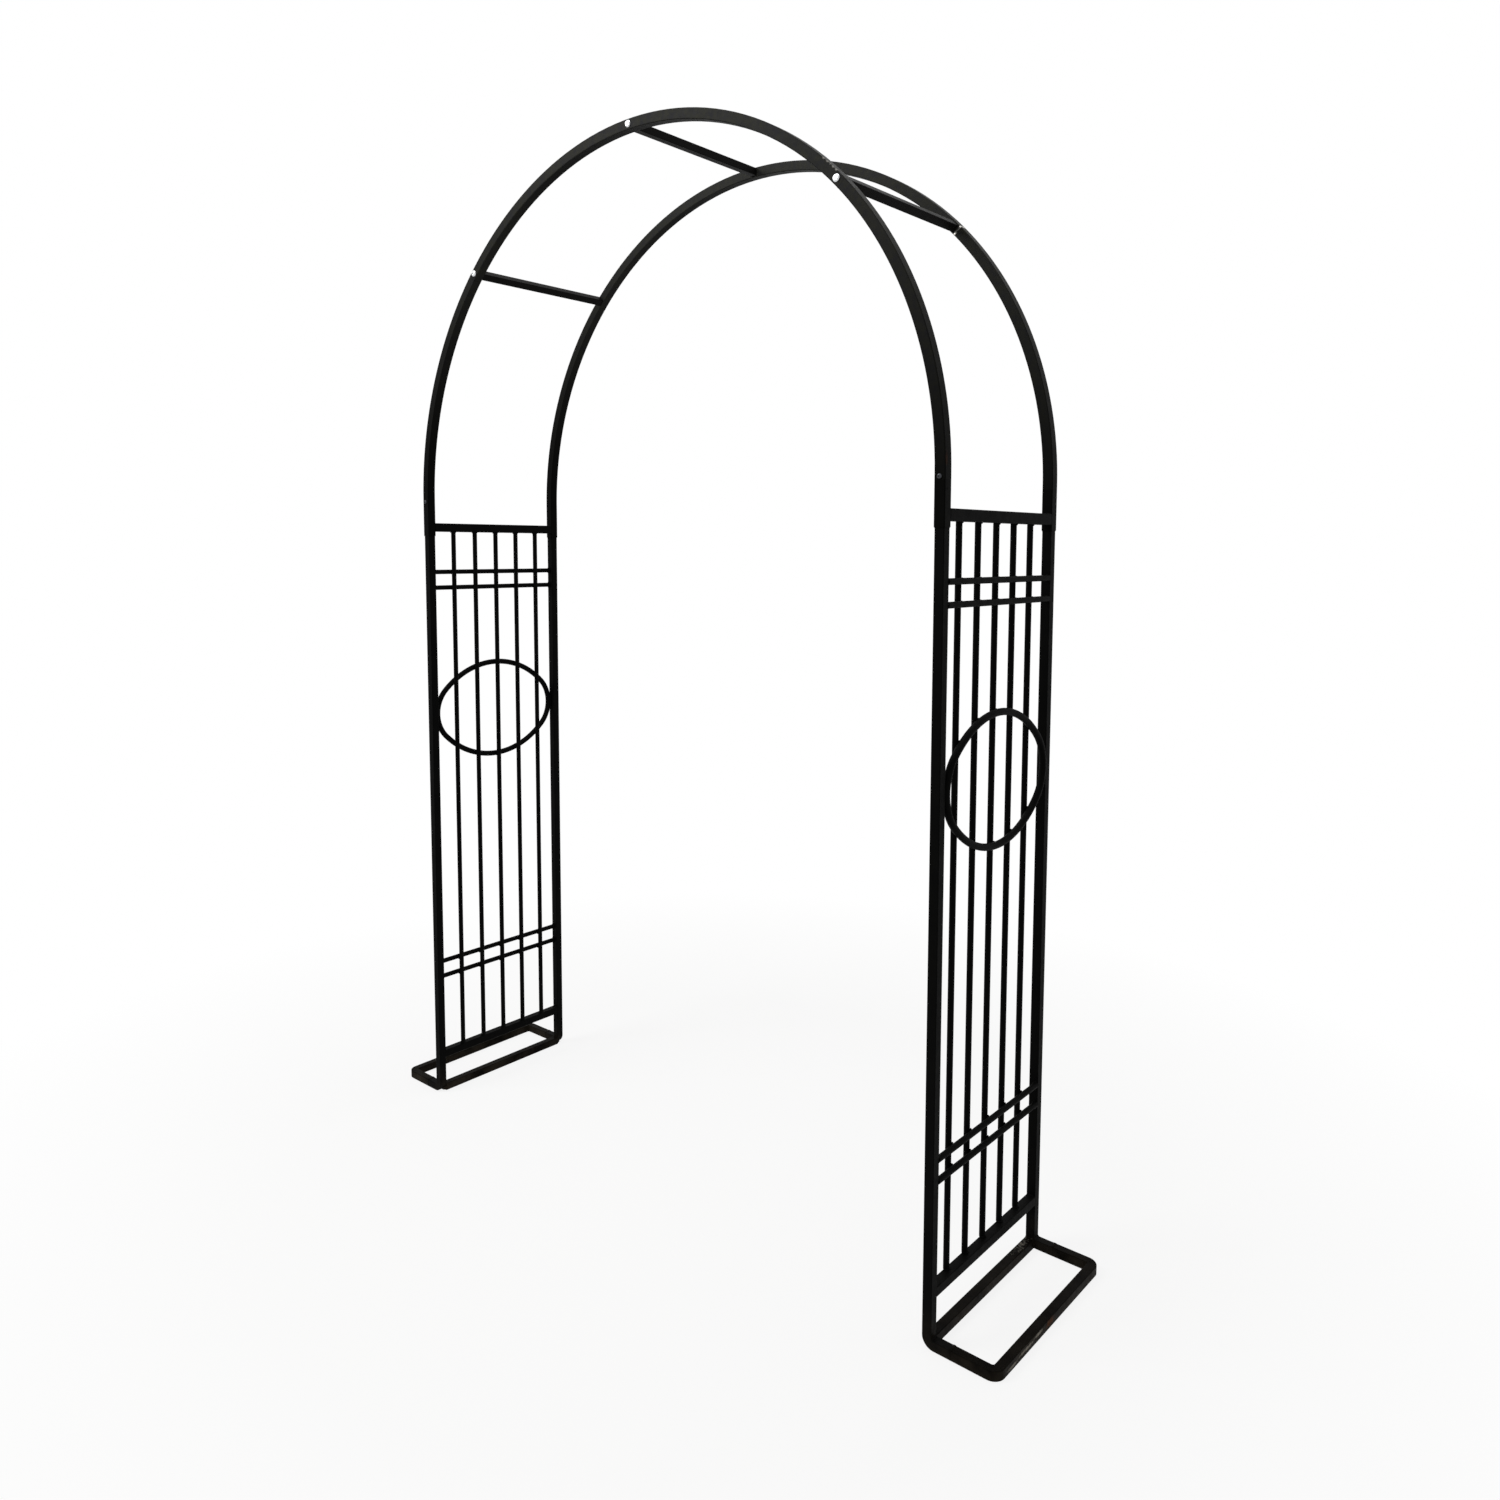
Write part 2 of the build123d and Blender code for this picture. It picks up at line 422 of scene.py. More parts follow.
@dataclass(frozen=True)
class PowderCoat:
    """Black powder coat, sprayed and baked on mild steel.

    The eye gets a deep, even black with a satin sheen, faint cloudy fading, dust where faces look
    up, and a few dull or brown places where the film has worn through. Some layers paint light into
    the colour, such as the hoops' lighter high faces and their edge highlight. At its usual specular
    level the film would turn grey in the studio's white surround, so that level is kept low.
    """

    name: str
    film: str
    layers: tuple[CoatLayer, ...]
    roughness: Pair
    specular: float
    cloud_mm: float = 90.0
    patch_range: Pair = (0.35, 0.68)
    streak_mm: float = 14.0
    streak_range: Pair = (0.3, 0.7)
    pebble_mm: float = 5.0
    pebble_depth_mm: float = 0.05
    pebble_strength: float = 0.6

    def read_metal(self, tree: Tree) -> MetalSurface:
        """Read what the layers need to know of the metal.

        Args:
            tree: Node tree of the coat.

        Returns:
            The readings.
        """
        where = add_node(tree, "ShaderNodeTexCoord").outputs["Object"]
        normal = add_node(tree, "ShaderNodeNewGeometry").outputs["Normal"]
        cloud = add_node(
            tree,
            "ShaderNodeTexNoise",
            {"Vector": where, "Scale": per_metre(self.cloud_mm), "Detail": 5.0, "Roughness": 0.6},
        ).outputs["Fac"]
        sound, faded = self.patch_range
        patches = add_node(
            tree, "ShaderNodeMapRange", {"Value": cloud, "From Min": sound, "From Max": faded}
        ).outputs["Result"]
        return MetalSurface(
            tree=tree,
            where=where,
            normal=normal,
            height=add_node(tree, "ShaderNodeSeparateXYZ", {0: where}).outputs["Z"],
            up=add_node(tree, "ShaderNodeSeparateXYZ", {0: normal}).outputs["Z"],
            cloud=cloud,
            patches=patches,
        )

    def paint(self, metal: MetalSurface) -> Socket:
        """Lay the layers over the black film, one after the other.

        Args:
            metal: Readings of the metal.

        Returns:
            Colour at each point.
        """
        colour: Colour | Socket = linear(self.film)
        for layer in self.layers:
            colour = add_node(
                metal.tree,
                "ShaderNodeMix",
                {MIX_SHARE: layer.share(metal), MIX_UNDER: colour, MIX_OVER: layer.tone(metal)},
                data_type="RGBA",
            ).outputs[MIX_RESULT]
        return colour

    def gloss(self, metal: MetalSurface) -> Socket:
        """Vary the sheen softly from place to place.

        Args:
            metal: Readings of the metal.

        Returns:
            Roughness at each point.
        """
        streak = add_node(
            metal.tree,
            "ShaderNodeTexNoise",
            {"Vector": metal.where, "Scale": per_metre(self.streak_mm), "Detail": 3.0},
        ).outputs["Fac"]
        least, most = self.streak_range
        smooth, rough = self.roughness
        return add_node(
            metal.tree,
            "ShaderNodeMapRange",
            {"Value": streak, "From Min": least, "From Max": most, "To Min": smooth, "To Max": rough},
        ).outputs["Result"]

    def pebble(self, metal: MetalSurface) -> Socket:
        """Raise the film's fine pebble.

        Args:
            metal: Readings of the metal.

        Returns:
            Direction in which the pebbled film looks at each point.
        """
        # The real pebble is finer than a millimetre, so it is drawn coarser to show at all.
        pebble = add_node(
            metal.tree,
            "ShaderNodeTexNoise",
            {"Vector": metal.where, "Scale": per_metre(self.pebble_mm), "Detail": 2.0},
        ).outputs["Fac"]
        return add_node(
            metal.tree,
            "ShaderNodeBump",
            {"Height": pebble, "Strength": self.pebble_strength, "Distance": self.pebble_depth_mm * MM},
        ).outputs["Normal"]

    def material(self) -> Finish:
        """Build the coat's node tree.

        Returns:
            The finished material.
        """
        material = new_material(self.name)
        metal = self.read_metal(material.node_tree)
        shader = add_node(
            metal.tree,
            "ShaderNodeBsdfPrincipled",
            {
                "Base Color": self.paint(metal),
                "Roughness": self.gloss(metal),
                "Specular IOR Level": self.specular,
                "Normal": self.pebble(metal),
            },
        ).outputs[0]
        add_node(metal.tree, "ShaderNodeOutputMaterial", {"Surface": shader})
        return material


@dataclass(frozen=True)
class PlatedSteel:
    """Zinc-plated, blackened or plain steel of small hardware.

    The eye gets a grey metal whose gloss changes softly from place to place.
    """

    name: str
    light: str
    dull: str
    roughness: Pair
    cloud_mm: float = 4.0

    def material(self) -> Finish:
        """Build the metal's node tree.

        Returns:
            The finished material.
        """
        material = new_material(self.name)
        tree = material.node_tree
        where = add_node(tree, "ShaderNodeTexCoord").outputs["Object"]
        cloud = add_node(
            tree,
            "ShaderNodeTexNoise",
            {"Vector": where, "Scale": per_metre(self.cloud_mm), "Detail": 3.0},
        ).outputs["Fac"]
        colour = add_node(
            tree,
            "ShaderNodeMix",
            {MIX_SHARE: cloud, MIX_UNDER: linear(self.light), MIX_OVER: linear(self.dull)},
            data_type="RGBA",
        ).outputs[MIX_RESULT]
        smooth, rough = self.roughness
        gloss = add_node(
            tree, "ShaderNodeMapRange", {"Value": cloud, "To Min": smooth, "To Max": rough}
        ).outputs["Result"]
        shader = add_node(
            tree,
            "ShaderNodeBsdfPrincipled",
            {"Base Color": colour, "Metallic": 1.0, "Roughness": gloss},
        ).outputs[0]
        add_node(tree, "ShaderNodeOutputMaterial", {"Surface": shader})
        return material


@dataclass(frozen=True)
class HoopEdge:
    """Outer edge of the front hoop's front face, along which spots of painted highlight are placed by
    angle.
    """

    radius: float = 0.7125
    depth: float = -0.2
    spring: float = 1.4651
    scuff_mm: float = 8.0

    def scuff(self, degrees: float) -> WearSpot:
        """Place one round spot of painted highlight on the edge.

        Args:
            degrees: Angle above the right end of the half circle.

        Returns:
            The spot.
        """
        angle = radians(degrees)
        centre = (self.radius * cos(angle), self.depth, self.spring + self.radius * sin(angle))
        return WearSpot(centre, (self.scuff_mm, self.scuff_mm, self.scuff_mm))


RUST_GRAIN_MM = 9.0
SCUFF_AND_HIGHLIGHT_GRAIN_MM = 6.0

# Painted edge highlight: a row of small bright spots just above the right rung's screw
HOOP_EDGE_HIGHLIGHT_SPOTS = tuple(HoopEdge().scuff(degrees) for degrees in (45.9, 46.6, 47.3, 48.0, 48.7))

# Satin black with painted light: a dull grey on the hoops' high faces that look to the front right, and a
# painted edge highlight by the right rung's screw; near black on their undersides, with a trace of rust on
# the front right leg
HOOP_COAT = PowderCoat(
    name="hoop_satin_black_powder_coat",
    film="#050504",
    layers=(
        FadedPatches("#090908"),
        # Painted light on the hoops' high faces that look to the front right
        SunBleach("#313133", chalk="#393932"),
        SettledDust("#4a4845"),
        WornSpots("#2f1e15", RUST_GRAIN_MM, (WearSpot((0.7105, -0.196, 1.491), (5.0, 7.0, 26.0)),)),
        # Painted edge highlight by the right rung's screw
        WornSpots("#a19e98", SCUFF_AND_HIGHLIGHT_GRAIN_MM, HOOP_EDGE_HIGHLIGHT_SPOTS),
    ),
    roughness=(0.36, 0.48),
    specular=0.016,
)
# Duller, even black of the panels, a little brown with mud at their feet
PANEL_COAT = PowderCoat(
    name="panel_black_powder_coat",
    film="#050505",
    layers=(FadedPatches("#090908"), SettledDust("#2c2b29"), MudSplash("#38322a", most=0.6)),
    roughness=(0.5, 0.6),
    specular=0.022,
    cloud_mm=60.0,
)
# Clean satin black with a clear sheen along the rungs' upper faces
RUNG_COAT = PowderCoat(
    name="rung_black_powder_coat",
    film="#070606",
    layers=(FadedPatches("#0d0c0b"), SettledDust("#2c2b29")),
    roughness=(0.4, 0.52),
    specular=0.03,
)
# Brownish black of the ground frames, splashed with mud, rusty and scuffed to bare metal in places
GROUND_COAT = PowderCoat(
    name="ground_frame_worn_black_powder_coat",
    film="#040302",
    layers=(
        FadedPatches("#0c0a07"),
        SettledDust("#2e2923"),
        MudSplash("#38322a", most=0.8),
        WornSpots(
            "#4a2c18",
            RUST_GRAIN_MM,
            (
                WearSpot((0.834, -0.014, 0.011), (7.0, 34.0, 13.0)),
                WearSpot((-0.834, -0.199, 0.012), (26.0, 26.0, 12.0)),
            ),
        ),
        WornSpots(
            "#8a857b",
            SCUFF_AND_HIGHLIGHT_GRAIN_MM,
            (
                WearSpot((0.834, -0.150, 0.007), (5.0, 34.0, 6.0)),
                WearSpot((0.834, -0.100, 0.010), (5.0, 52.0, 6.0)),
                WearSpot((0.834, -0.056, 0.012), (5.0, 36.0, 6.0)),
                WearSpot((0.697, 0.148, 0.018), (40.0, 130.0, 30.0), 0.5),
                WearSpot((0.728, -0.186, 0.018), (22.0, 9.0, 5.0)),
            ),
        ),
    ),
    roughness=(0.42, 0.6),
    specular=0.018,
    cloud_mm=60.0,
)
# Bright, almost white zinc of the rung screws' heads
ZINC = PlatedSteel(
    name="zinc_plated_screw_steel", light="#e6e7e8", dull="#c4c6c8", roughness=(0.22, 0.36)
)
# Dark grey metal of the leg screws, only a little lighter than the coat round them
DARK_SCREW = PlatedSteel(
    name="blackened_screw_steel", light="#48494c", dull="#2c2d30", roughness=(0.3, 0.45)
)
# Pale bare metal where the film has chipped off a cut edge
SEAM_STEEL = PlatedSteel(
    name="bare_cut_steel_edge", light="#b9b7b2", dull="#8a8680", roughness=(0.3, 0.45)
)
# Mid-grey mill finish of the parts that are hidden inside the tubes
PLAIN_STEEL = PlatedSteel(
    name="plain_drawn_steel", light="#8d8f92", dull="#66686b", roughness=(0.35, 0.5)
)


@dataclass(frozen=True)
class FinishSet:
    """All finishes of the arch, built once and shared by its sub-assemblies."""

    panel_coat: Finish = field(default_factory=PANEL_COAT.material)
    ground_coat: Finish = field(default_factory=GROUND_COAT.material)
    hoop_coat: Finish = field(default_factory=HOOP_COAT.material)
    plain_steel: Finish = field(default_factory=PLAIN_STEEL.material)
    seam_steel: Finish = field(default_factory=SEAM_STEEL.material)
    dark_screw: Finish = field(default_factory=DARK_SCREW.material)
    rung_coat: Finish = field(default_factory=RUNG_COAT.material)
    zinc: Finish = field(default_factory=ZINC.material)


@dataclass(frozen=True)
class Lamp:
    """One soft rectangular lamp, with the point that it looks at."""

    name: str
    place: Triple
    target: Triple
    size: Pair
    watts: float

    def hang(self) -> None:
        """Hang the lamp with its face towards its target."""
        data = bpy.data.lights.new(self.name, "AREA")
        data.shape = "RECTANGLE"
        data.size, data.size_y = self.size
        data.energy = self.watts
        lamp = bpy.data.objects.new(self.name, data)
        lamp.location = self.place
        view = Vector(self.target) - Vector(self.place)
        lamp.rotation_euler = view.to_track_quat("-Z", "Y").to_euler()
        bpy.context.scene.collection.objects.link(lamp)


# A lamp high up at the front left, and a larger one overhead
LAMPS = (
    Lamp("front_lamp", (-2.0, -2.9, 3.6), (0.1, -0.1, 1.7), (1.8, 1.8), 90.0),
    Lamp("overhead_lamp", (0.3, 0.4, 4.4), (0.0, 0.0, 0.0), (3.0, 3.0), 70.0),
)


@dataclass
class Studio:
    """Pale floor, soft lamps, white surround and the camera at the photograph's place."""

    floor_radius: float = 8.0
    floor_sides: int = 96
    floor_drop_mm: float = 0.2
    paper: str = "#f4f3f1"
    paper_roughness: float = 0.9
    shadow_range: Pair = (0.9, 2.0)
    shadow_hidden: float = 0.85
    surround: str = "#ffffff"
    ambient: float = 0.2
    lamps: tuple[Lamp, ...] = LAMPS
    camera_place: Triple = (1.6499, -1.8012, 1.3390)
    camera_turn: Triple = (85.161, 0.0, 41.429)
    lens_mm: float = 27.511
    sensor_mm: float = 36.0
    shift: Pair = (0.02, -0.0667)

    def seen_directly(self, tree: Tree) -> Socket:
        """Tell rays of the camera, of gloss and of glass from those that light the arch.

        Args:
            tree: Node tree of the floor or the world.

        Returns:
            1 for those rays and 0 for the rest.
        """
        path = add_node(tree, "ShaderNodeLightPath")
        shown = path.outputs["Is Camera Ray"]
        for name in ("Is Glossy Ray", "Is Transmission Ray"):
            shown = add_node(
                tree, "ShaderNodeMath", {0: shown, 1: path.outputs[name]}, operation="MAXIMUM"
            ).outputs[0]
        return shown

    def floor_material(self) -> Finish:
        """Matt white paper floor that keeps a soft shadow near the arch and fades to white.

        Returns:
            The finished material.
        """
        material = new_material("matt_white_paper_floor")
        tree = material.node_tree
        where = add_node(tree, "ShaderNodeTexCoord").outputs["Object"]
        away = add_node(tree, "ShaderNodeVectorMath", {0: where}, operation="LENGTH").outputs["Value"]
        near, far = self.shadow_range
        fade = add_node(
            tree,
            "ShaderNodeMapRange",
            {"Value": away, "From Min": near, "From Max": far, "To Min": self.shadow_hidden},
        ).outputs["Result"]
        white = add_node(
            tree, "ShaderNodeMath", {0: self.seen_directly(tree), 1: fade}, operation="MULTIPLY"
        ).outputs[0]
        paper = add_node(
            tree,
            "ShaderNodeBsdfPrincipled",
            {"Base Color": linear(self.paper), "Roughness": self.paper_roughness},
        ).outputs[0]
        glow = add_node(tree, "ShaderNodeEmission", {"Strength": 1.0}).outputs[0]
        both = add_node(tree, "ShaderNodeMixShader", {0: white, 1: paper, 2: glow}).outputs[0]
        add_node(tree, "ShaderNodeOutputMaterial", {"Surface": both})
        return material

    def build_floor(self) -> None:
        """Lay the floor just under the ground frames."""
        shape = bmesh.new()
        bmesh.ops.create_circle(
            shape, cap_ends=True, radius=self.floor_radius, segments=self.floor_sides
        )
        bmesh.ops.translate(shape, vec=(0, 0, -self.floor_drop_mm * MM), verts=shape.verts)
        mesh = bpy.data.meshes.new("studio_floor")
        shape.to_mesh(mesh)
        shape.free()
        mesh.materials.append(self.floor_material())
        floor = bpy.data.objects.new("studio_floor", mesh)
        bpy.context.scene.collection.objects.link(floor)

    def build_world(self) -> None:
        """Surround the arch with white that lights it at a plain level."""
        world = bpy.data.worlds.new("studio_white")
        world.use_nodes = True
        tree = world.node_tree
        tree.nodes.clear()
        strength = add_node(
            tree,
            "ShaderNodeMapRange",
            {"Value": self.seen_directly(tree), "To Min": self.ambient, "To Max": 1.0},
        ).outputs["Result"]
        glow = add_node(
            tree, "ShaderNodeBackground", {"Color": linear(self.surround), "Strength": strength}
        ).outputs[0]
        add_node(tree, "ShaderNodeOutputWorld", {"Surface": glow})
        bpy.context.scene.world = world

    def build_camera(self) -> None:
        """Place the camera where the photograph was taken."""
        data = bpy.data.cameras.new("photo_camera")
        data.sensor_width = self.sensor_mm
        data.lens = self.lens_mm
        data.shift_x, data.shift_y = self.shift
        camera = bpy.data.objects.new("photo_camera", data)
        camera.location = self.camera_place
        camera.rotation_euler = [radians(turn) for turn in self.camera_turn]
        bpy.context.scene.collection.objects.link(camera)
        bpy.context.scene.camera = camera

    def build(self) -> None:
        """Set up the whole studio."""
        self.build_floor()
        self.build_world()
        for lamp in self.lamps:
            lamp.hang()
        self.build_camera()
        bpy.context.scene.view_settings.view_transform = "Standard"


def centre_of(node: str) -> Vector:
    """Middle of a CAD node's box."""
    low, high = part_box(node)
    return (low + high) / 2


def dress(nodes: list[str], finish: Finish) -> None:
    """Give one finish to some CAD nodes.

    Args:
        nodes: Names of the nodes.
        finish: Material for all their slots.
    """
    for name in nodes:
        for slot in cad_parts[name].material_slots:
            slot.material = finish
        LOG.info("%s dressed in %s", name, finish.name)


@dataclass
class MetalRun:
    """Weld metal or seam metal of one sub-assembly, gathered in one mesh."""

    name: str
    ripple_mm: float = 2.2
    ripple_depth_mm: float = 0.25
    bead_sides: int = 8
    bead_rings: int = 10
    end_taper: float = 0.3
    step_degrees: float = 12.0
    least_steps: int = 6
    tack_smoothing: int = 2
    pad_round: float = 0.3
    pad_segments: int = 3
    corner_segments: int = 4
    bury_mm: float = 0.5
    crease_degrees: float = 50.0
    shape: bmesh.types.BMesh = field(default_factory=bmesh.new)

    def ring(
        self, centre: Vector, axis: Vector, radius: float, bead: float, towards: Vector, sweep: float
    ) -> None:
        """Lay a bead part of the way round a bar.

        Args:
            centre: Point on the bar's axis.
            axis: Direction of the bar.
            radius: Distance of the bead's middle from the axis.
            bead: Radius of the bead.
            towards: Direction of the middle of the bead, square to the axis.
            sweep: Angle that the bead covers, in degrees.
        """
        turn = radians(sweep)
        across = Matrix.Rotation(-turn / 2, 3, axis) @ towards
        face = Matrix((across, axis, across.cross(axis))).transposed().to_4x4()
        first = bmesh.ops.create_circle(
            self.shape,
            cap_ends=False,
            segments=self.bead_sides,
            radius=bead,
            matrix=Matrix.Translation(centre + across * radius) @ face,
        )["verts"]
        edges = {edge for vert in first for edge in vert.link_edges}
        last = bmesh.ops.spin(
            self.shape,
            geom=[*first, *edges],
            cent=centre,
            axis=axis,
            angle=turn,
            steps=max(self.least_steps, round(sweep / self.step_degrees)),
            use_merge=False,
        )["geom_last"]
        for loop in (first, [item for item in last if isinstance(item, bmesh.types.BMVert)]):
            middle = sum((vert.co for vert in loop), Vector()) / len(loop)
            bmesh.ops.scale(
                self.shape,
                vec=Vector((1, 1, 1)) * self.end_taper,
                space=Matrix.Translation(-middle),
                verts=loop,
            )
            bmesh.ops.contextual_create(self.shape, geom=loop)

    def run(self, start: Vector, end: Vector, bead: float) -> None:
        """Lay a short straight bead with tapered ends.

        Args:
            start: One end.
            end: The other end.
            bead: Radius of the bead.
        """
        along = end - start
        turn = along.to_track_quat("Z", "Y").to_matrix().to_4x4()
        size = Matrix.Diagonal((bead, bead, along.length / 2 + bead, 1.0))
        bmesh.ops.create_uvsphere(
            self.shape,
            u_segments=self.bead_sides,
            v_segments=self.bead_rings,
            radius=1.0,
            matrix=Matrix.Translation((start + end) / 2) @ turn @ size,
        )

    def tack(self, centre: Vector, size: Vector) -> None:
        """Drop one tack of weld metal in a crevice.

        Args:
            centre: Middle of the tack.
            size: Half of its length along X, Y and Z.
        """
        place = Matrix.Translation(centre) @ Matrix.Diagonal((*size, 1.0))
        bmesh.ops.create_icosphere(self.shape, subdivisions=self.tack_smoothing, radius=1.0, matrix=place)

    def pad(self, place: Matrix, half: float, length: float, taper: float) -> None:
        """Build up a square pad of weld metal that narrows away from its base.

        Args:
            place: Base of the pad, whose Z runs towards the narrow end.
            half: Half of the base's side.
            length: Length of the pad.
            taper: Share of the base's side that is left at the narrow end.
        """
        reach = half * SQUARE_REACH
        verts = bmesh.ops.create_cone(
            self.shape,
            cap_ends=True,
            segments=SQUARE_SIDES,
            radius1=reach,
            radius2=reach * taper,
            depth=length,
            matrix=place @ Matrix.Translation((0, 0, length / 2)) @ Matrix.Rotation(pi / 4, 4, "Z"),
        )["verts"]
        bmesh.ops.bevel(
            self.shape,
            geom=list({edge for vert in verts for edge in vert.link_edges}),
            offset=half * self.pad_round,
            offset_type="OFFSET",
            affect="EDGES",
            segments=self.pad_segments,
            profile=0.5,
            material=-1,
        )

    def band(self, place: Matrix, half: float, corner: float, proud: float, width: float) -> None:
        """Wrap a thin band round a square tube, sunk a little into its wall.

        Args:
            place: Section of the tube, whose Z runs along the tube.
            half: Half of the tube's side.
            corner: Radius of the tube's corners.
            proud: How far the band stands out of the tube's faces.
            width: Length of the band along the tube.
        """
        square = bmesh.ops.create_circle(
            self.shape,
            cap_ends=True,
            segments=SQUARE_SIDES,
            radius=(half + proud) * SQUARE_REACH,
            matrix=place @ Matrix.Translation((0, 0, -width / 2)) @ Matrix.Rotation(pi / 4, 4, "Z"),
        )["verts"]
        rounded = bmesh.ops.bevel(
            self.shape,
            geom=square,
            offset=corner + proud,
            offset_type="OFFSET",
            affect="VERTICES",
            segments=self.corner_segments,
            profile=0.5,
            material=-1,
        )["verts"]
        face = rounded[0].link_faces[0]
        rim = bmesh.ops.inset_individual(
            self.shape, faces=[face], thickness=proud + self.bury_mm * MM, use_even_offset=True
        )["faces"]
        bmesh.ops.delete(self.shape, geom=[face], context="FACES_ONLY")
        raised = bmesh.ops.extrude_face_region(self.shape, geom=rim)["geom"]
        verts = [item for item in raised if isinstance(item, bmesh.types.BMVert)]
        along = (place.to_3x3() @ Vector((0, 0, 1))) * width
        bmesh.ops.translate(self.shape, vec=along, verts=verts)

    def roughen(self) -> None:
        """Give the beads the ripple that a weld pool leaves."""
        self.shape.normal_update()
        for vert in self.shape.verts:
            wave = noise.noise(vert.co / (self.ripple_mm * MM))
            vert.co += vert.normal * wave * self.ripple_depth_mm * MM

    def settle(self, finish: Finish) -> None:
        """Turn the gathered metal into a piece that rides on the arch.

        Args:
            finish: Material of the piece.
        """
        bmesh.ops.recalc_face_normals(self.shape, faces=self.shape.faces)
        mesh = bpy.data.meshes.new(self.name)
        self.shape.to_mesh(mesh)
        self.shape.free()
        mesh.shade_smooth()
        mesh.set_sharp_from_angle(angle=radians(self.crease_degrees))
        mesh.materials.append(finish)
        piece = bpy.data.objects.new(self.name, mesh)
        bpy.context.scene.collection.objects.link(piece)
        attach(piece, BODY)
        LOG.info("%s built with %d faces", self.name, len(mesh.polygons))


@dataclass
class SidePanel:
    """One welded trellis panel: posts, bars, rods, crossbars and ring.

    Attributes:
        side: Which of the two panels.
        rods: Number of upright rods.
        fillet_mm: Radius of the beads.
        fillet_lift: Distance of a bead's middle from the face it lies on, over its radius.
        fillet_sweep: Degrees of a bar's girth that its bead covers.
        tack_mm: Half of a tack's length.
        tack_shape: A tack's lengths along X, Y and Z, over that length.
        tack_step: Distance of a tack from its crossing along Y and Z, over half of its length.
        ring_reading_mm: Half of the slice of the ring that gives its height.
        ring_bead_lift: As fillet_lift, for the beads between ring and posts.
        ring_bead_apart_mm: Distance of those beads from the ring's middle height.
        ring_bead_half_mm: Half of their length.
        ring_crevice: Their distance from the ring's middle plane, over the bar's thickness.
        bar_inset_mm: Distance of the top and bottom bars' beads from the bars' edges.
    """

    side: Side
    rods: int = 5
    fillet_mm: float = 2.0
    fillet_lift: float = 1 / 3
    fillet_sweep: float = 230.0
    tack_mm: float = 2.6
    tack_shape: Triple = (0.8, 1.0, 1.0)
    tack_step: float = 1.3
    ring_reading_mm: float = 4.0
    ring_bead_lift: float = 1 / 2
    ring_bead_apart_mm: float = 7.0
    ring_bead_half_mm: float = 6.0
    ring_crevice: float = 0.3
    bar_inset_mm: float = 2.5

    @property
    def rod_names(self) -> list[str]:
        """Nodes of the upright rods."""
        return [f"{self.side.label}_rod_{number}" for number in range(1, self.rods + 1)]

    @property
    def crossbar_names(self) -> list[str]:
        """Nodes of the crossbars."""
        return [
            f"{self.side.label}_{pair}_crossbar_{place}"
            for pair in ("upper", "lower")
            for place in ("top", "bottom")
        ]

    def ring_height(self, depth: float, up: int) -> float:
        """Height of the ring's middle line at some depth, above or below its centre.

        Args:
            depth: Place along the panel's Y.
            up: 1 for the upper half and -1 for the lower.

        Returns:
            Height in metres.
        """
        name = f"{self.side.label}_ring"
        middle = centre_of(name).z
        heights = [
            vert.co.z
            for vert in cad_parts[name].data.vertices
            if abs(vert.co.y - depth) < self.ring_reading_mm * MM and (vert.co.z - middle) * up > 0
        ]
        return (min(heights) + max(heights)) / 2

    def weld_rods(self, welds: MetalRun) -> None:
        """Weld the rods' ends to the bars and the crossbars' ends to the posts.

        Args:
            welds: Mesh that gathers the beads.
        """
        outwards = Vector((self.side.value, 0, 0))
        fillet = self.fillet_mm * MM
        lift = fillet * self.fillet_lift
        for name in self.rod_names:
            low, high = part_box(name)
            radius = (high.y - low.y) / 2
            for height in (low.z + lift, high.z - lift):
                end = Vector(((low.x + high.x) / 2, (low.y + high.y) / 2, height))
                welds.ring(end, Vector((0, 0, 1)), radius, fillet, outwards, self.fillet_sweep)
        for name in self.crossbar_names:
            low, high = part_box(name)
            radius = (high.z - low.z) / 2
            for depth in (low.y + lift, high.y - lift):
                end = Vector(((low.x + high.x) / 2, depth, (low.z + high.z) / 2))
                welds.ring(end, Vector((0, 1, 0)), radius, fillet, -outwards, self.fillet_sweep)

    def tack_pair(self, welds: MetalRun, crossing: Vector, slope: int) -> None:
        """Drop a tack in two opposite corners of one crossing.

        Args:
            welds: Mesh that gathers the tacks.
            crossing: Where the bars cross, between them.
            slope: 1 for tacks that rise towards the rear, and -1 for tacks that fall.
        """
        size = self.tack_mm * MM
        step = size * self.tack_step
        for lean in (-1, 1):
            corner = crossing + Vector((0, lean * step, lean * slope * step))
            welds.tack(corner, Vector(self.tack_shape) * size)

    def tack_crossings(self, welds: MetalRun) -> None:
        """Tack the rods to the crossbars and the ring where they cross.

        Args:
            welds: Mesh that gathers the tacks.
        """
        step = self.tack_mm * MM * self.tack_step
        for rod in self.rod_names:
            low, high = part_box(rod)
            depth = (low.y + high.y) / 2
            face = high.x if self.side is Side.RIGHT else low.x
            for bar in self.crossbar_names:
                self.tack_pair(welds, Vector((face, depth, centre_of(bar).z)), 1)
            for up in (1, -1):
                rising = self.ring_height(depth + step, up) >= self.ring_height(depth - step, up)
                crossing = Vector((face, depth, self.ring_height(depth, up)))
                self.tack_pair(welds, crossing, 1 if rising else -1)

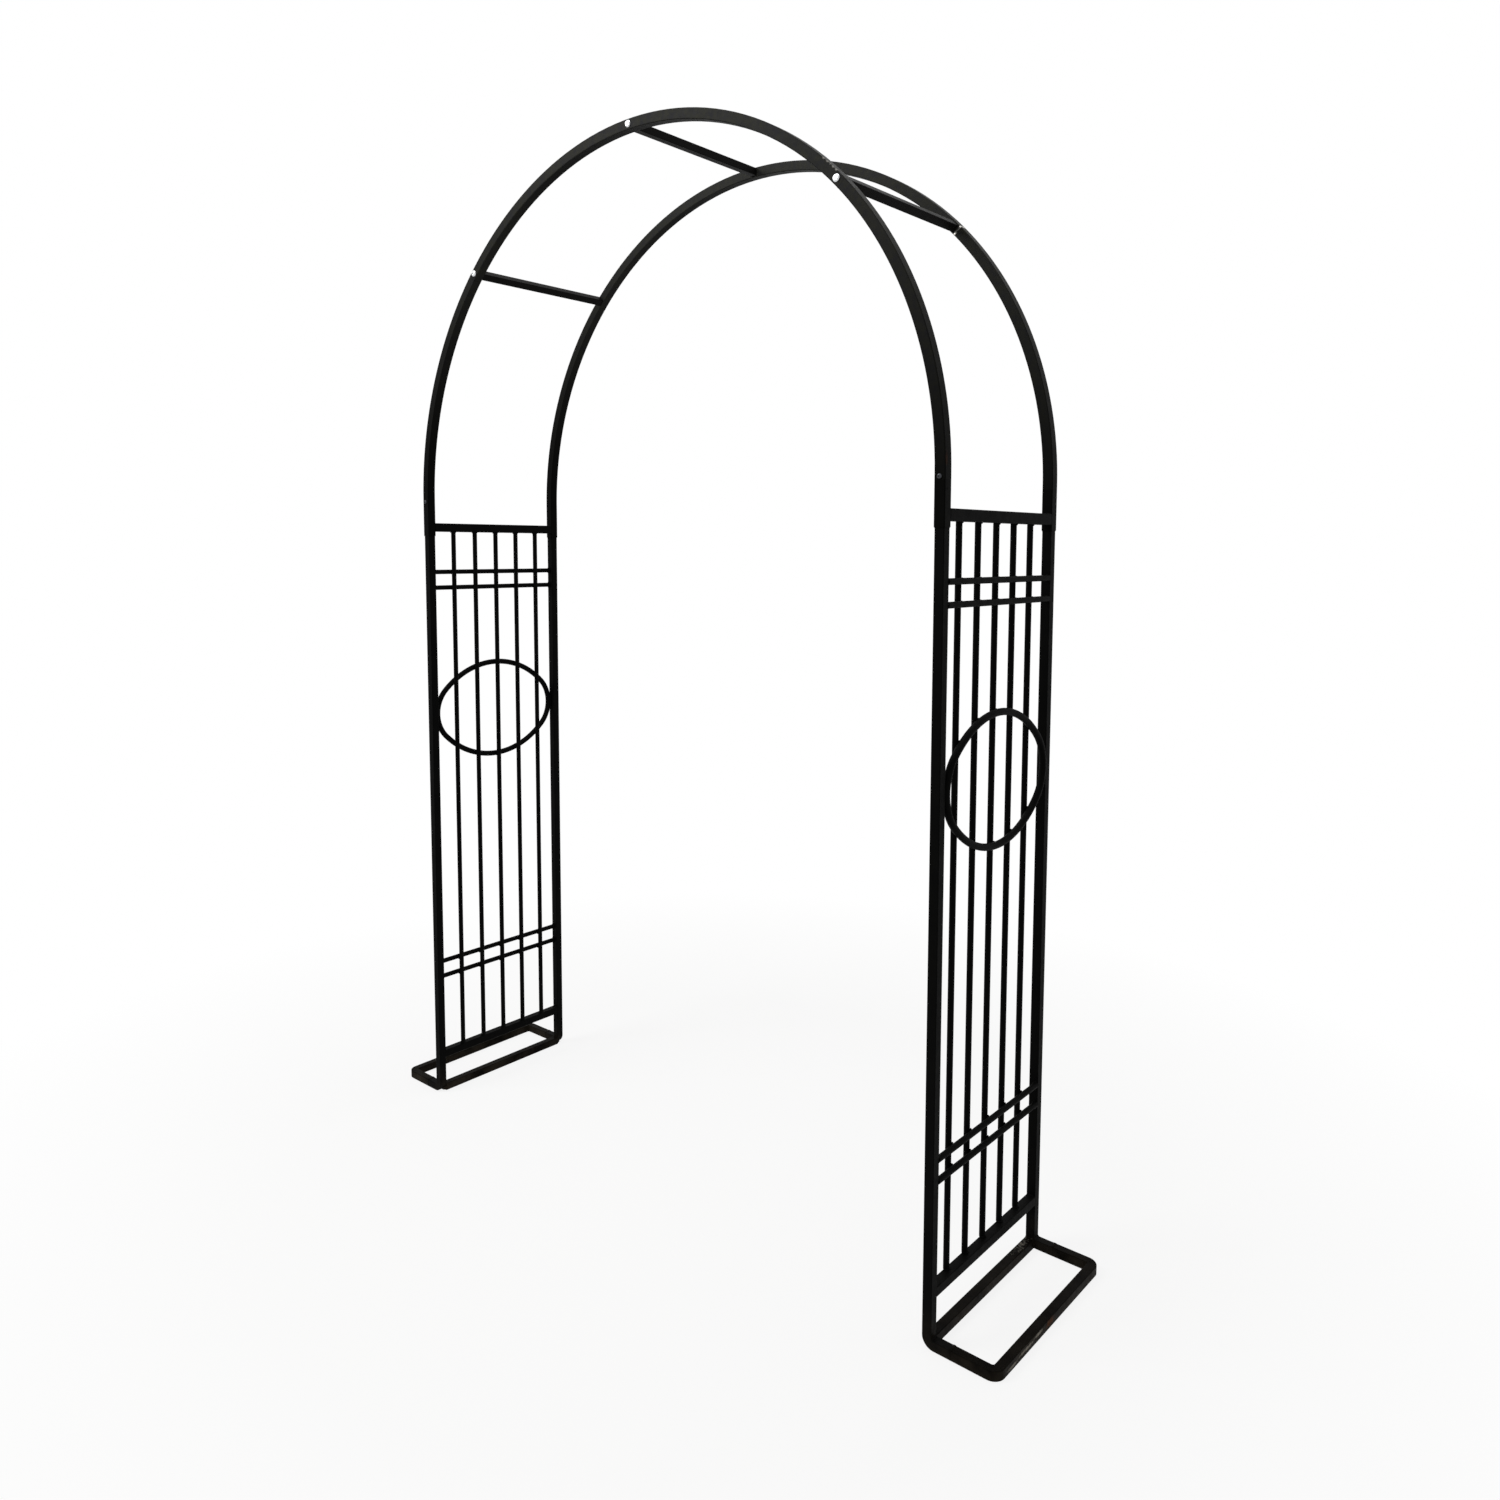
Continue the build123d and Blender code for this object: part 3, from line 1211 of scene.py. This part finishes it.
    def weld_ring(self, welds: MetalRun) -> None:
        """Weld the ring to the posts with two upright beads at each side.

        Args:
            welds: Mesh that gathers the beads.
        """
        fillet = self.fillet_mm * MM
        lift = fillet * self.ring_bead_lift
        half = Vector((0, 0, self.ring_bead_half_mm * MM))
        low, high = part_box(f"{self.side.label}_ring")
        middle = (low + high) / 2
        crevice = middle.x - self.side.value * (high.x - low.x) * self.ring_crevice
        for depth in (low.y + lift, high.y - lift):
            for up in (-1, 1):
                bead = Vector((crevice, depth, middle.z + up * self.ring_bead_apart_mm * MM))
                welds.run(bead - half, bead + half, fillet)

    def weld_bars(self, welds: MetalRun) -> None:
        """Weld the ends of the top and bottom bars to the collars and posts.

        Args:
            welds: Mesh that gathers the beads.
        """
        inset = self.bar_inset_mm * MM
        for name in ("top_bar", "bottom_bar"):
            low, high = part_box(f"{self.side.label}_{name}")
            for depth in (low.y, high.y):
                for height in (low.z, high.z):
                    welds.run(
                        Vector((low.x + inset, depth, height)),
                        Vector((high.x - inset, depth, height)),
                        self.fillet_mm * MM,
                    )

    def build(self, finishes: FinishSet) -> None:
        """Dress the panel's nodes and lay its welds.

        Args:
            finishes: The arch's finishes.
        """
        label = self.side.label
        frame_names = [f"{label}_{row.label}_post" for row in Row]
        frame_names += [f"{label}_top_bar", f"{label}_bottom_bar", f"{label}_ring"]
        dress(frame_names + self.rod_names + self.crossbar_names, finishes.panel_coat)
        welds = MetalRun(f"{label}_panel_welds")
        self.weld_rods(welds)
        self.tack_crossings(welds)
        self.weld_ring(welds)
        self.weld_bars(welds)
        welds.roughen()
        welds.settle(finishes.panel_coat)


@dataclass
class GroundFrame:
    """Foot of one panel: the posts' bent feet, the ground bar and the ground rail."""

    side: Side
    seam_proud_mm: float = 0.35
    seam_width_mm: float = 4.0
    corner_mm: float = 1.5
    fillet_mm: float = 3.0
    fillet_inset_mm: float = 2.5
    fillet_clear_mm: float = 5.0
    fillet_lean_mm: float = 1.0
    heel_mm: float = 13.0
    heel_length_mm: float = 10.0
    heel_taper: float = 0.55
    heel_sunk_mm: float = 1.0

    def weld_bar(self, welds: MetalRun) -> None:
        """Mark the seams where the ground bar closes the posts' feet.

        Args:
            welds: Mesh that gathers the bands.
        """
        low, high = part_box(f"{self.side.label}_ground_bar")
        half = (high.z - low.z) / 2
        joint = low.x if self.side is Side.RIGHT else high.x
        proud = self.seam_proud_mm * MM
        along = Matrix.Rotation(pi / 2, 4, "Y")
        for depth in (low.y + half, high.y - half):
            # Raised by as much as it stands proud, so that the band ends level with the tube's underside
            place = Matrix.Translation((joint, depth, half + proud)) @ along
            welds.band(place, half, self.corner_mm * MM, proud, self.seam_width_mm * MM)

    def weld_rail(self, welds: MetalRun) -> None:
        """Weld the ground rail's ends to the posts' feet, with a pad at each heel.

        Args:
            welds: Mesh that gathers the beads and pads.
        """
        out = self.side.value
        low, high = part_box(f"{self.side.label}_ground_rail")
        outer, inner = (high.x, low.x) if self.side is Side.RIGHT else (low.x, high.x)
        fillet = self.fillet_mm * MM
        inset = self.fillet_inset_mm * MM
        foot = outer - out * self.fillet_lean_mm * MM
        heel = self.heel_mm / 2 * MM
        heel_height = low.z + heel + self.seam_proud_mm * MM
        for row, depth in zip(Row, (low.y, high.y), strict=True):
            welds.run(
                Vector((low.x + inset, depth, high.z)), Vector((high.x - inset, depth, high.z)), fillet
            )
            welds.run(
                Vector((outer, depth, high.z - inset)),
                Vector((foot, depth, low.z + self.fillet_clear_mm * MM)),
                fillet,
            )
            sunk = depth - row.value * self.heel_sunk_mm * MM
            base = Matrix.Translation((inner + out * heel, sunk, heel_height))
            facing = Matrix.Rotation(-row.value * pi / 2, 4, "X")
            welds.pad(base @ facing, heel, self.heel_length_mm * MM, self.heel_taper)

    def build(self, finishes: FinishSet) -> None:
        """Dress the ground tubes and weld them to the posts' feet.

        Args:
            finishes: The arch's finishes.
        """
        label = self.side.label
        dress([f"{label}_ground_bar", f"{label}_ground_rail"], finishes.ground_coat)
        welds = MetalRun(f"{label}_ground_welds")
        self.weld_bar(welds)
        self.weld_rail(welds)
        welds.roughen()
        welds.settle(finishes.ground_coat)


@dataclass
class HoopPair:
    """Front and rear hoops with their collars, splices, seams and leg screws."""

    corner_mm: float = 1.8
    seam_proud_mm: float = 0.2
    seam_width_mm: float = 2.2
    chip_width_mm: float = 3.6
    chipped: tuple[Row, Side] = (Row.REAR, Side.RIGHT)
    joint_proud_mm: float = 0.12
    joint_width_mm: float = 1.6
    collar_step_mm: float = 1.1
    collar_weld_drop_mm: float = 0.6
    collar_weld_proud_mm: float = 0.7
    collar_weld_width_mm: float = 1.8

    def leg(self, row: Row, side: Side) -> str:
        """Node of one hoop leg."""
        return f"{row.label}_hoop_{side.label}_leg"

    def dress_tubes(self, finishes: FinishSet) -> None:
        """Dress the hoops, collars, splices and leg screws.

        Args:
            finishes: The arch's finishes.
        """
        names = [self.leg(row, side) for row in Row for side in Side]
        names += [f"{row.label}_hoop_crown" for row in Row]
        names += [f"{side.label}_{row.label}_collar" for side in Side for row in Row]
        dress(names, finishes.hoop_coat)
        splices = [f"{row.label}_hoop_{side.label}_splice" for row in Row for side in Side]
        dress(splices, finishes.plain_steel)
        dress(["leg_screws"], finishes.dark_screw)

    def seam_band(self, row: Row, side: Side, seams: MetalRun, width_mm: float) -> None:
        """Put the raised cut edge at one seam of a hoop.

        Args:
            row: Hoop.
            side: Half of the hoop that the seam is in.
            seams: Mesh that gathers the bands.
            width_mm: Length of the band along the tube.
        """
        low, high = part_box(self.leg(row, side))
        half = (high.y - low.y) / 2
        foot = centre_of(f"right_{row.label}_collar")
        radius = foot.x
        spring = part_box(f"{row.label}_hoop_crown")[1].z - radius - half
        turn = asin((high.z - spring) / (radius + half))
        place = (
            Matrix.Translation((0, foot.y, spring))
            @ Matrix.Rotation(-side.value * turn, 4, "Y")
            @ Matrix.Translation((side.value * radius, 0, 0))
        )
        seams.band(place, half, self.corner_mm * MM, self.seam_proud_mm * MM, width_mm * MM)

    def mark_seams(self, finishes: FinishSet) -> None:
        """Mark the hoops' seams, one of them chipped to bare metal.

        Args:
            finishes: The arch's finishes.
        """
        seams = MetalRun("hoop_seams")
        chip = MetalRun("chipped_hoop_seam")
        for row in Row:
            for side in Side:
                if (row, side) == self.chipped:
                    self.seam_band(row, side, chip, self.chip_width_mm)
                else:
                    self.seam_band(row, side, seams, self.seam_width_mm)
        seams.settle(finishes.hoop_coat)
        chip.settle(finishes.seam_steel)

    def mark_collars(self, finishes: FinishSet) -> None:
        """Mark the joints between legs and collars with near-black bands that paint the shade of the gaps,
        and weld the collars to the posts.

        Args:
            finishes: The arch's finishes.
        """
        # Painted shade: bands in the panels' near-black coat stand for the shade in the gaps between legs
        # and collars
        joint_shade_bands = MetalRun("leg_joints")
        welds = MetalRun("collar_welds")
        corner = self.corner_mm * MM
        for side in Side:
            for row in Row:
                low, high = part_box(f"{side.label}_{row.label}_collar")
                middle = (low + high) / 2
                half = (high.y - low.y) / 2
                top = Matrix.Translation((middle.x, middle.y, high.z))
                joint_shade_bands.band(top, half, corner, self.joint_proud_mm * MM, self.joint_width_mm * MM)
                under = Matrix.Translation((middle.x, middle.y, low.z - self.collar_weld_drop_mm * MM))
                welds.band(
                    under,
                    half - self.collar_step_mm * MM,
                    corner,
                    self.collar_weld_proud_mm * MM,
                    self.collar_weld_width_mm * MM,
                )
        joint_shade_bands.settle(finishes.panel_coat)
        welds.roughen()
        welds.settle(finishes.hoop_coat)

    def build(self, finishes: FinishSet) -> None:
        """Dress the hoops and collars and mark their joints.

        Args:
            finishes: The arch's finishes.
        """
        self.dress_tubes(finishes)
        self.mark_seams(finishes)
        self.mark_collars(finishes)


@dataclass
class Rungs:
    """Three rungs between the hoops with their plugs and bright screws."""

    names: tuple[str, ...] = ("left_rung", "crown_rung", "right_rung")

    def build(self, finishes: FinishSet) -> None:
        """Dress the rungs and their hardware.

        Args:
            finishes: The arch's finishes.
        """
        dress(list(self.names), finishes.rung_coat)
        dress(["rung_plugs"], finishes.plain_steel)
        dress(["rung_screws"], finishes.zinc)


def main() -> None:
    """Build and dress the arch, then the studio round it."""
    finishes = FinishSet()
    for side in Side:
        SidePanel(side).build(finishes)
        GroundFrame(side).build(finishes)
    HoopPair().build(finishes)
    Rungs().build(finishes)
    Studio().build()


if __name__ == "__main__":
    logging.basicConfig(level=logging.INFO, format="%(name)s: %(message)s")
    main()
